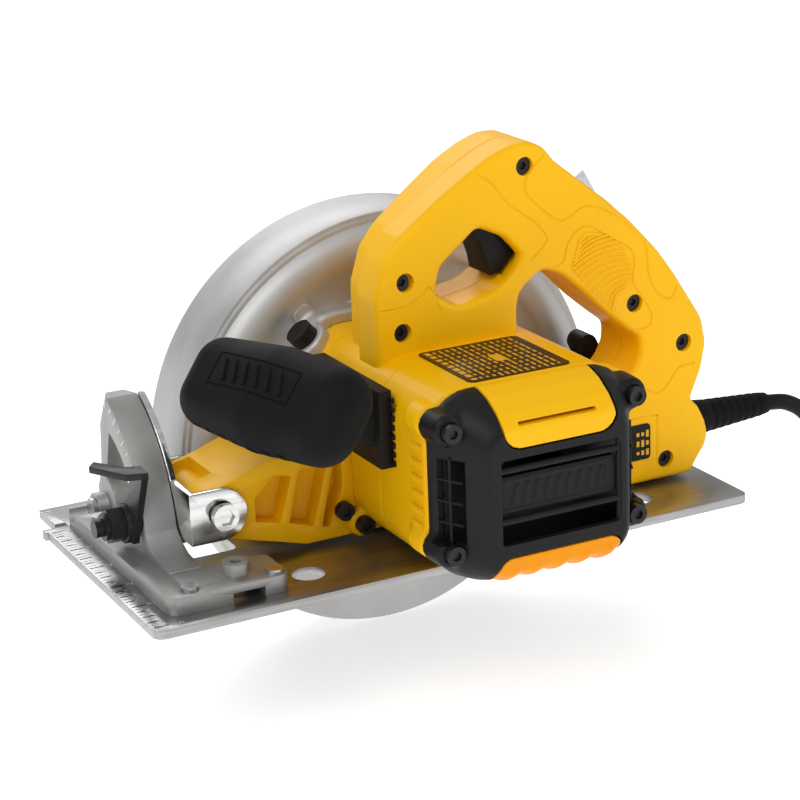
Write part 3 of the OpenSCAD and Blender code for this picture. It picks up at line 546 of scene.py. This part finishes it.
def make_handle():
    """Two shells that meet at the parting line, with pressed lines and a ribbed patch."""
    near = make_handle_half("handle_left", HANDLE_NEAR, HANDLE_SPLIT + 2, 0)
    make_handle_half("handle_right", HANDLE_SPLIT - 2, HANDLE_FAR, 5)
    ribs = [patch_rib(near, *ends) for ends in zip(eased(PATCH_LOW, 3), eased(PATCH_HIGH, 3))]
    ribs = [rib for rib in ribs if len(rib) > 4]
    patch = add_piece("grip_ribs", line_tubes("grip_ribs", ribs, 0.7), YELLOW, "saw")
    shade(patch, 60)


# ---- turned and lofted shapes ----

def turn_profile(shape, profile, start, ahead, steps=32):
    """Revolves (radius, distance) points about a line; off the axis they close on themselves."""
    ahead = Vector(ahead).normalized()
    side = ahead.orthogonal().normalized()
    over = ahead.cross(side)
    rings = []
    for r, d in profile:
        centre = (Vector(start) + ahead * d) * MM
        on_axis = r < 0.001
        rings.append([shape.verts.new(centre)] if on_axis
                     else ring(shape, centre, side, over, r, steps))
    pairs = list(zip(rings, rings[1:]))
    if profile[0][0] > 0.001:
        pairs.append((rings[-1], rings[0]))
    faces = []
    for a, b in pairs:
        for k in range(steps):
            m = (k + 1) % steps
            corners = [a[k], a[m]] if len(a) > 1 else [a[0]]
            corners += [b[m], b[k]] if len(b) > 1 else [b[0]]
            faces.append(shape.faces.new(corners))
    bmesh.ops.recalc_face_normals(shape, faces=faces)


def turned(name, profile, start, ahead, steps=32):
    shape = bmesh.new()
    turn_profile(shape, profile, start, ahead, steps)
    return bmesh_to_mesh(name, shape)


def pin(r, length):
    """Profile of a plain round bar."""
    return [(0, 0), (r, 0), (r, length), (0, length)]


def loft(shape, sections):
    """Closed skin through outlines of equal length, each (outline, y)."""
    join_rings(shape, [[shape.verts.new((x * MM, y * MM, z * MM)) for x, z in outline]
                       for outline, y in sections])


def lofted(name, sections):
    shape = bmesh.new()
    loft(shape, sections)
    return bmesh_to_mesh(name, shape)


# ---- motor end ----

def lock_point(d):
    """Point on the lock button's axis, d from the spindle's axis."""
    return (SPINDLE_X + LOCK_AXIS[0] * d, LOCK_Y, SPINDLE_Z + LOCK_AXIS[2] * d)


def make_case():
    """Motor case with its ribs, screw lug, cooling slots and hollow motor end."""
    x0, z0, x1, z1 = HOUSE
    side = rounded(x0, z0, x1, z1, HOUSE_ROUND)
    blocks = [(side, CASE_FRONT, CASE_BACK), (disc(*ARM_SCREW, 6.5), -37, -28)]
    blocks += [(disc(x, z, EAR_R), CASE_FRONT, CASE_FRONT + 14) for x, z in EARS]
    case = moulding("motor_case", "saw", YELLOW, blocks, 1.5, 1.3, 4)
    inner = rounded(x0 + CASE_WALL, z0 + CASE_WALL, x1 - CASE_WALL, z1 - CASE_WALL,
                    HOUSE_ROUND - CASE_WALL)
    carve(case, prisms("hollow", [(inner, CASE_FRONT - 6, -4)]))
    slots = [(rounded(x1 - 6, 30 + 8 * i, x1 + 6, 33 + 8 * i, 1.2), -34, -10) for i in range(6)]
    carve(case, prisms("slots", slots))
    lines = [[(x, y, z) for x, z in side + side[:1]] for y in (-3, -60)]
    carve(case, line_tubes("seams", lines, 0.45))
    carve(case, prisms("screw", [(disc(*ARM_SCREW, 2.5), -40, -15)]))
    carve(case, turned("lock_room", pin(7.5, 40), lock_point(52), LOCK_AXIS))
    refinish(case, YELLOW)
    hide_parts("motor_housing", "gear_plate")
    ribs = [(rounded(x0 - 1.4, 30 + 7 * i, x0 + 2, 33.5 + 7 * i, 1), -101, -92) for i in range(6)]
    shade(add_piece("case_side_ribs", prisms("case_side_ribs", ribs), YELLOW, "saw"))


def cap_sections(g):
    """Outlines of the end cap from the case to its front face, set in by g."""
    x0, z0, x1, z1 = HOUSE
    rim = rounded(x0 + g, z0 + g, x1 - g, z1 - g, HOUSE_ROUND - g)
    return [(rim, CASE_FRONT + (0.1 if g else 0)),
            (rim, -108),
            (rounded(-27 + g, 9 + g, 61 - g, 89.5 - g, 16 - g), -116 + g / 2),
            (rounded(-21 + g, 11 + g, 56 - g, 84.5 - g, 13 - g), -124 + g),
            (rounded(-17.5 + g, 14 + g, 53 - g, 80 - g, 11 - g), -128.6 + g),
            (rounded(-15.5 + g, 16 + g, 51 - g, 78 - g, 10 - g), CAP_FRONT + g)]


def make_cap_shell():
    """Tapered shell with ears, a front window, two insert openings and side louvres."""
    shape = bmesh.new()
    loft(shape, cap_sections(0))
    for x, z in EARS:
        turn_profile(shape, [(0, 0), (5.6, 0), (6.8, 1), (7.2, 3), (EAR_R, 14.5), (0, 14.5)],
                     (x, -118.5, z), ALONG_Y)
    cap = add_piece("end_cap_shell", bmesh_to_mesh("end_cap_shell", shape), BLACK, "saw")
    blend_solid(cap, BLACK, 1.1, 5)
    inside = bmesh.new()
    loft(inside, cap_sections(3.2))
    prism(inside, rounded(-28, 12, 62, 88, 16), -112, -100)
    carve(cap, bmesh_to_mesh("inside", inside))
    carve(cap, prisms("windows", [(rounded(-11, 28, 48, 66, 3), -140, -120),
                                  (rounded(-9, 69.5, 47, 120, 9), -140, -100),
                                  (rounded(-13, -10, 50, 22.5, 8), -140, -108)]))
    carve(cap, prisms("seats", [(disc(x, z, 4.6), CAP_FRONT, -114.5) for x, z in EARS]))
    for x0, x1 in ((-38, -14), (48, 72)):
        carve(cap, prisms("louvre", [(rounded(x0, 29, x1, 66, 2.5), -121.5, -110.5)]))
    refinish(cap, BLACK)
    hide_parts("end_cap")


def make_cap_front():
    """Bars and a slatted panel in the cap's window, and bars in its side louvres."""
    bars = [[(-12, -128.2, z), (49, -128.2, z)] for z in (61, 38.3)]
    bars += [[(x, -128.2, 28), (x, -128.2, 66)] for x in (-11, 48)]
    shade(add_piece("cap_bars", line_tubes("cap_bars", bars, 1.5, 16), BLACK, "saw"), 60)
    blocks = [(rounded(-10, 41, 47, 58, 1.5), -127.6, -125)]
    for i in range(9):
        x = -4.5 + 5.2 * i
        blocks.append(([(x, 45), (x + 2.4, 45), (x + 4.2, 54), (x + 1.8, 54)], -128.4, -127))
    blocks += [(rounded(-8, z - 0.6, 45, z + 0.6, 0.5), -128.2, -127) for z in (42.8, 56.2)]
    panel = add_piece("cap_panel", prisms("cap_panel", blocks), BLACK, "saw")
    blend_solid(panel, BLACK, 0.5, 3, 60)
    grid = []
    for outer, inner in ((-30.2, -24.4), (64.2, 58.4)):
        grid += [[(outer, -110, z), (inner, -122, z)] for z in (38, 47.5, 57)]
        middle = (outer + inner) / 2
        grid.append([(middle, -116, 28), (middle, -116, 67)])
    shade(add_piece("cap_side_bars", line_tubes("cap_side_bars", grid, 0.7), BLACK, "saw"), 60)


def make_top_insert():
    """Yellow insert over the cap's top and front, with a slot for the brush door."""
    x, z = 17, 50
    swollen = [([(x + (a - x) * 1.006, z + (b - z) * 1.008) for a, b in outline], y)
               for outline, y in cap_sections(0)]
    insert = add_piece("top_insert_shell", lofted("top_insert_shell", swollen), YELLOW, "saw")
    opening = prisms("outline", [(rounded(-8.3, 70, 46.3, 120, 8.5), -140, -99)])
    carve(insert, opening, "INTERSECT")
    carve(insert, lofted("inner", cap_sections(4)))
    blend_solid(insert, YELLOW, 0.8, 4)
    carve(insert, line_tubes("slot", [[(0, -126, 81), (36, -126, 81)]], 0.9))
    carve(insert, prisms("slot", [(rounded(-1, 79.6, 37, 81.2, 0.7), -140, -112)]))
    refinish(insert, YELLOW)
    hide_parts("top_insert")


def make_bottom_insert():
    """Insert under the cap's window, with a row of five lobes, in yellow plastic deepened to
    orange as painted shade.
    """
    scoop = add_piece("bottom_insert_shell", lofted("bottom_insert_shell", cap_sections(0.3)),
                      YELLOW_IN_PAINTED_SHADE, "saw")
    opening = prisms("outline", [(rounded(-12.5, -10, 49.5, 22, 7.5), -140, -108.5)])
    carve(scoop, opening, "INTERSECT")
    carve(scoop, lofted("inner", cap_sections(4)))
    lobe = [(0, 0), (3.6, 0.6), (5.2, 3), (5.8, 9), (5.2, 15), (3.5, 18), (0, 18.6)]
    lobes = bmesh.new()
    lobes.from_mesh(scoop.data)
    for i in range(5):
        turn_profile(lobes, lobe, (-5 + 11.7 * i, -129.5, 19.5), (0, 0.82, -0.42), 24)
    lobes.to_mesh(scoop.data)
    lobes.free()
    blend_solid(scoop, YELLOW_IN_PAINTED_SHADE, 0.9, 4)
    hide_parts("bottom_insert")


# ---- blade guard ----

def make_guard():
    """Cast blade guard: stepped rim, raised ring, sunk band and the rim round the gear case."""
    near = [(18, 24.5), (45, 24.5), (64, 24.5), (65.2, 22.4), (66.5, 21), (71.5, 21),
            (73, 22.2), (74.5, 24.2), (85.5, 24.2), (88, 22.6), (92, 21.3), (97, 21.4),
            (101.5, 22.8), (104.6, 25.4), (106, 27.6), (107.6, 27.8), (108.2, 29.4),
            (109.6, 29.6), (110, 30.4), (110, 67), (109, 68), (62, 68), (62, 66.4), (63, 65.4),
            (105.8, 65.4), (106.8, 64.4), (106.8, 33), (104.6, 29.4), (100, 26.6), (92, 25.4),
            (86, 27.6), (18, 27.6)]
    ring_mesh = turned("guard_shell", near, (SPINDLE_X, 0, SPINDLE_Z), ALONG_Y, 160)
    piece = add_piece("guard_shell", ring_mesh, GUARD, "saw")
    carve(piece, prisms("below", [(rounded(-150, -150, 190, 28, 1), 10, 80)]))
    refinish(piece, GUARD, 50)
    x0, z0, x1, z1 = HOUSE
    shape = bmesh.new()
    loft(shape, [(rounded(x0 - 3.4, z0 + 4, x1 + 3.4, z1 + 3.6, 21), 14),
                 (rounded(x0 - 5, z0 + 3, x1 + 5, z1 + 5, 22), 16),
                 (rounded(x0 - 5.4, z0 + 2.6, x1 + 5.4, z1 + 5.4, 22.4), 26)])
    turn_profile(shape, [(0, 0), (9, 0), (9.6, 1), (9.6, 14), (0, 14)], lock_point(66), LOCK_AXIS)
    turn_profile(shape, [(0, 0), (4.6, 0), (5.4, 0.9), (5.4, 5), (0, 5)], (-27, 22.6, 96),
                 ALONG_Y, 48)
    boss = add_piece("gear_case_rim", bmesh_to_mesh("gear_case_rim", shape), GUARD, "saw")
    blend_solid(boss, GUARD, 1.1, 3)
    room = rounded(x0 + 0.4, z0 + 0.4, x1 - 0.4, z1 - 0.4, HOUSE_ROUND - 0.4)
    carve(boss, prisms("room", [(room, 0, 40)]))
    carve(boss, turned("bore", pin(6.7, 30), lock_point(66.5), LOCK_AXIS))
    refinish(boss, GUARD, 50)
    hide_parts("upper_guard")
    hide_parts("upper_guard")


# ---- front handle ----

def make_grip():
    """Rubber grip with its finger grooves and a framed row of slanted pads on top."""
    mesh = bmesh_to_mesh("front_grip", merged_copy("aux_grip"))
    grip = add_piece("front_grip", mesh, RUBBER, body_with("aux_grip"))
    blend_solid(grip, RUBBER, 0.9, 7)
    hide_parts("aux_grip")
    out = (Vector((-0.956, -0.292, 0)) * 0.62 + Vector((0, 0, 0.785))).normalized()
    across = GRIP_AHEAD.cross(out)

    def on_grip(along, side):
        start = (GRIP_START + GRIP_AHEAD * along + out * 30 + across * side) * MM
        hit, place, _, _ = grip.ray_cast(start, -out)
        return tuple(place / MM) if hit else tuple(start / MM)

    def stroke(a, b, n):
        return [on_grip(a[0] + (b[0] - a[0]) * i / n, a[1] + (b[1] - a[1]) * i / n)
                for i in range(n + 1)]

    corners = [(22, -7), (72, -7), (72, 7), (22, 7)]
    border = []
    for a, b in zip(corners, corners[1:] + corners[:1]):
        border += stroke(a, b, 10)[:-1]
    carve(grip, line_tubes("border", [border + border[:1]], 0.6))
    refinish(grip, RUBBER)
    pads = [stroke((28 + 7 * i, -4.5), (32 + 7 * i, 4.5), 4) for i in range(6)]
    shade(add_piece("grip_pads", line_tubes("grip_pads", pads, 1.1), RUBBER, "saw"), 60)


# ---- rows of marks ----

FULL = (1, 1, 1)
LINE_WIDTH, LINE_RISE = 0.42, 0.24


def bar_row_tree():
    """Node tree: a straight row of small bars, each scaled by a seeded random factor."""
    tree = bpy.data.node_groups.new("row_of_bars", "GeometryNodeTree")
    ports = [("Count", "NodeSocketInt"), ("Start", "NodeSocketVector"),
             ("Step", "NodeSocketVector"), ("Size", "NodeSocketVector"),
             ("Scale Low", "NodeSocketVector"), ("Seed", "NodeSocketInt"),
             ("Finish", "NodeSocketMaterial")]
    for name, kind in ports:
        tree.interface.new_socket(name, in_out="INPUT", socket_type=kind)
    tree.interface.new_socket("Geometry", in_out="OUTPUT", socket_type="NodeSocketGeometry")
    nodes, links = tree.nodes, tree.links
    given = nodes.new("NodeGroupInput")
    row = nodes.new("GeometryNodeMeshLine")
    row.mode = "OFFSET"
    bar = nodes.new("GeometryNodeMeshCube")
    vary = nodes.new("FunctionNodeRandomValue")
    vary.data_type = "FLOAT_VECTOR"
    place = nodes.new("GeometryNodeInstanceOnPoints")
    real = nodes.new("GeometryNodeRealizeInstances")
    paint = nodes.new("GeometryNodeSetMaterial")
    made = nodes.new("NodeGroupOutput")
    vary.inputs["Max"].default_value = FULL
    links.new(given.outputs["Count"], row.inputs["Count"])
    links.new(given.outputs["Start"], row.inputs["Start Location"])
    links.new(given.outputs["Step"], row.inputs["Offset"])
    links.new(given.outputs["Size"], bar.inputs["Size"])
    links.new(given.outputs["Scale Low"], vary.inputs["Min"])
    links.new(given.outputs["Seed"], vary.inputs["Seed"])
    links.new(row.outputs["Mesh"], place.inputs["Points"])
    links.new(bar.outputs["Mesh"], place.inputs["Instance"])
    links.new(vary.outputs["Value"], place.inputs["Scale"])
    links.new(place.outputs["Instances"], real.inputs["Geometry"])
    links.new(real.outputs["Geometry"], paint.inputs["Geometry"])
    links.new(given.outputs["Finish"], paint.inputs["Material"])
    links.new(paint.outputs["Geometry"], made.inputs["Geometry"])
    return tree


ROW_TREE = bar_row_tree()


def take_mesh(holder):
    """Evaluated mesh of a temporary object, which is then removed."""
    bpy.context.collection.objects.link(holder)
    bpy.context.view_layer.update()
    mesh = bpy.data.meshes.new_from_object(
        holder.evaluated_get(bpy.context.evaluated_depsgraph_get()))
    bpy.data.objects.remove(holder)
    return mesh


def bar_rows(name, body, finish, rows):
    """One piece from rows of (count, start, step, size, lowest scale, seed), in millimetres."""
    shape = bmesh.new()
    for count, start, step, size, low, seed in rows:
        holder = bpy.data.objects.new("row", bpy.data.meshes.new("row"))
        made = holder.modifiers.new("row", "NODES")
        made.node_group = ROW_TREE
        values = {"Count": count, "Start": [v * MM for v in start],
                  "Step": [v * MM for v in step], "Size": [v * MM for v in size],
                  "Scale Low": low, "Seed": seed, "Finish": finish}
        for item in ROW_TREE.interface.items_tree:
            if item.in_out == "INPUT":
                made[item.identifier] = values[item.name]
        shape.from_mesh(take_mesh(holder))
    shade(add_piece(name, bmesh_to_mesh(name, shape), finish, body), 30)


def make_inch_scale():
    """Inch marks down to eighths along the front of the shoe, with the numbers 1 to 5."""
    rows = []
    for step, size in ((INCH / 8, 4), (INCH / 4, 5.4), (INCH / 2, 7), (INCH, 9)):
        rows.append((int(SCALE_LENGTH / step) + 1, (SHOE_FRONT + size / 2, SCALE_ZERO, SHOE_TOP),
                     (0, -step, 0), (size, LINE_WIDTH, LINE_RISE), FULL, 0))
    rows.append((5, (-141, 78, SHOE_TOP), (0, -INCH / 8, 0), (5, LINE_WIDTH, LINE_RISE), FULL, 0))
    rows += [(1, (-139, y, SHOE_TOP), (0, 1, 0), (14, 0.5, LINE_RISE), FULL, 0)
             for y in (49.2, 35.5)]
    bar_rows("shoe_marks", "base", MARKS, rows)
    for number in range(1, 6):
        data = bpy.data.curves.new("number", "FONT")
        data.body = str(number)
        data.size = 0.0056
        data.extrude = 0.0001
        mesh = take_mesh(bpy.data.objects.new("number", data))
        place = Vector((-138.5, SCALE_ZERO - INCH * number + 0.8, SHOE_TOP + 0.05)) * MM
        turn = Matrix.Rotation(math.radians(-90), 4, "Z")
        mesh.transform(Matrix.Translation(place) @ turn)
        add_piece(f"shoe_number_{number}", mesh, MARKS, "base")


def make_degree_marks():
    """Raised marks every 5 degrees on the rim of the bevel quadrant."""
    shape = bmesh.new()
    for i in range(11):
        a = math.radians(14 + 5 * i)
        length = 6 if i % 2 == 0 else 4
        start, end = (
            Vector((QUADRANT_FRONT, HINGE_Y - r * math.cos(a), HINGE_Z + r * math.sin(a))) * MM
            for r in (QUADRANT_R - length + 0.6, QUADRANT_R - 0.6))
        ahead = (end - start).normalized()
        side = ahead.orthogonal().normalized()
        over = ahead.cross(side)
        join_rings(shape, [ring(shape, p, side, over, 0.3, 6) for p in (start, end)])
    shade(add_piece("degree_marks", bmesh_to_mesh("degree_marks", shape), MARKS, "base"), 20)


def make_print():
    """Blocks that stand for print on the label and the badge, and a row of pad teeth."""
    rows = [(9, (-4.5 + 3.2 * i, -98, LABEL_TOP), (0, 5.2, 0), (1.0 if i else 2.6, 4.7, 0.2),
             (1, 0.35, 1), i) for i in range(14)]
    rows.append((1, (19, -77, LABEL_TOP + 0.02), (0, 1, 0), (5.5, 9, 0.2), FULL, 0))
    bar_rows("label_print", "saw", PRINT, rows)
    rows = [(3, (109, BADGE_FACE, 22 + 4.6 * i), (2.6, 0, 0), (1.5, 0.3, 3.4), (1, 1, 0.4), i)
            for i in range(3)]
    bar_rows("badge_print", "saw", PRINT, rows)
    teeth = [(8, (-32.6, -75.5, 53.2), (0, 0, 4.1), (1.6, 2.2, 2.2), FULL, 0)]
    bar_rows("pad_teeth", "saw", BLACK, teeth)


# ---- cord ----

CORD_R = 0.004
BOOT_START = (136, -29.5, 26)
COIL_X, COIL_Y = 412, -20
COIL_TURNS, COIL_STEPS = 6.5, 16
ROUTE = [
    (196, -29.5, 26), (209, -29.5, 23.5), (222, -29.5, 14), (233, -30, -3), (243, -31, -24),
    (255, -34, -46), (272, -39, -61), (295, -46, -67.3), (323, -56, -67.3), (352, -66, -67.3),
    (376, -73, -67.3), (393, -76, -67.3)]
TO_PLUG = [(400, 37.5, -58), (390, 40, -56.5)]


def make_boot():
    """Strain relief: tapered rubber sleeve with shallow rings toward its end."""
    profile = [(0, 0), (6.9, 0), (6.9, 15), (8.6, 15.2), (8.9, 16.4)]
    for i in range(7):
        d = 24 + 4.6 * i
        r = 8.5 - 3.0 * (d - 16) / 44
        profile += [(r, d), (r - 0.55, d + 0.6), (r - 0.6, d + 1.6), (r - 0.1, d + 2.2)]
    profile += [(5.1, 59.4), (4.6, 60), (0, 60)]
    boot = add_piece("cord_sleeve", turned("cord_sleeve", profile, BOOT_START, (1, 0, 0), 40),
                     RUBBER, "saw")
    shade(boot, 50)
    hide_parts("cord_boot")
    return boot


def coil_radius(turns):
    """Winds in on the lower layer, climbs at the middle and winds out on the upper one."""
    if turns < 3.5:
        return 56 - 8 * turns
    if turns < 4.25:
        return 28 + 12 * (turns - 3.5)
    return 37 + 8 * (turns - 4.25)


def cord_points():
    """Knots of the cord from the sleeve over the table into its coil and on to the plug."""
    points = list(ROUTE)
    for i in range(1, int(COIL_TURNS * COIL_STEPS) + 1):
        turns = i / COIL_STEPS
        angle = math.radians(-90 + 360 * turns)
        climb = min(max((turns - 3.0) / 0.5, 0), 1)
        height = FLOOR / MM + 4.1 + 8.1 * climb * climb * (3 - 2 * climb)
        r = coil_radius(turns)
        points.append((COIL_X + r * math.cos(angle), COIL_Y + r * math.sin(angle), height))
    return [Vector(p) * MM for p in points + TO_PLUG]


def make_cord():
    sleeve = make_boot()
    data = bpy.data.curves.new("power_lead", "CURVE")
    data.dimensions = "3D"
    spline = data.splines.new("BEZIER")
    points = cord_points()
    spline.bezier_points.add(len(points) - 1)
    for knot, point in zip(spline.bezier_points, points):
        knot.co = point
        knot.handle_left_type = knot.handle_right_type = "AUTO"
    data.bevel_depth = CORD_R
    data.bevel_resolution = 4
    data.resolution_u = 5
    data.use_fill_caps = True
    data.materials.append(JACKET)
    lead = bpy.data.objects.new("power_lead", data)
    bpy.context.collection.objects.link(lead)
    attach(lead, "saw")
    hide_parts("power_cord", "cord_coil")
    bpy.context.view_layer.update()


# ---- studio ----

FLOOR_HALF = 6
FLOOR_GLOW, WORLD_LIGHT = 0.5, 0.55


def soft_light(name, place, target, size, power):
    data = bpy.data.lights.new(name, "AREA")
    data.shape = "RECTANGLE"
    data.size, data.size_y = size
    data.energy = power
    lamp = bpy.data.objects.new(name, data)
    bpy.context.collection.objects.link(lamp)
    lamp.location = place
    lamp.rotation_euler = (Vector(target) - Vector(place)).to_track_quat("-Z", "Y").to_euler()


def make_studio():
    """Pale floor under the saw, even light all round and three soft lamps."""
    mesh = bpy.data.meshes.new("floor")
    corners = [(x * FLOOR_HALF, y * FLOOR_HALF, FLOOR)
               for x, y in ((-1, -1), (1, -1), (1, 1), (-1, 1))]
    mesh.from_pydata(corners, [], [(0, 1, 2, 3)])
    floor = bpy.data.objects.new("floor", mesh)
    bpy.context.collection.objects.link(floor)
    paint = Finish("pale_floor", (0.9, 0.9, 0.9), 0.6)
    paint.shade(paint.spread(paint.noise(3, 3), 0, 1), 0.99, 1.01)
    paint.shader.inputs["Emission Color"].default_value = (1, 1, 1, 1)
    paint.shader.inputs["Emission Strength"].default_value = FLOOR_GLOW
    mesh.materials.append(paint.material)
    world = bpy.data.worlds.new("studio")
    world.use_nodes = True
    backdrop = world.node_tree.nodes["Background"]
    backdrop.inputs["Color"].default_value = (1, 1, 1, 1)
    backdrop.inputs["Strength"].default_value = WORLD_LIGHT
    bpy.context.scene.world = world
    soft_light("key", (-1.2, -1.0, 1.6), (0, 0, 0.05), (1.4, 1.0), 17)
    soft_light("side", (1.5, -1.2, 0.8), (0.05, 0, 0.05), (0.8, 1.2), 5)
    soft_light("rim", (0.2, 1.6, 1.3), (0, 0, 0.1), (1.6, 0.6), 12)


bpy.context.scene.view_settings.view_transform = "Standard"
set_camera()
make_cord()
dress_nodes()
for name, size in SOFT_EDGES.items():
    soften(name, size * MM)
make_case()
make_cap_shell()
make_cap_front()
make_top_insert()
make_bottom_insert()
make_guard()
make_grip()
make_inch_scale()
make_degree_marks()
make_print()
make_handle()
make_studio()
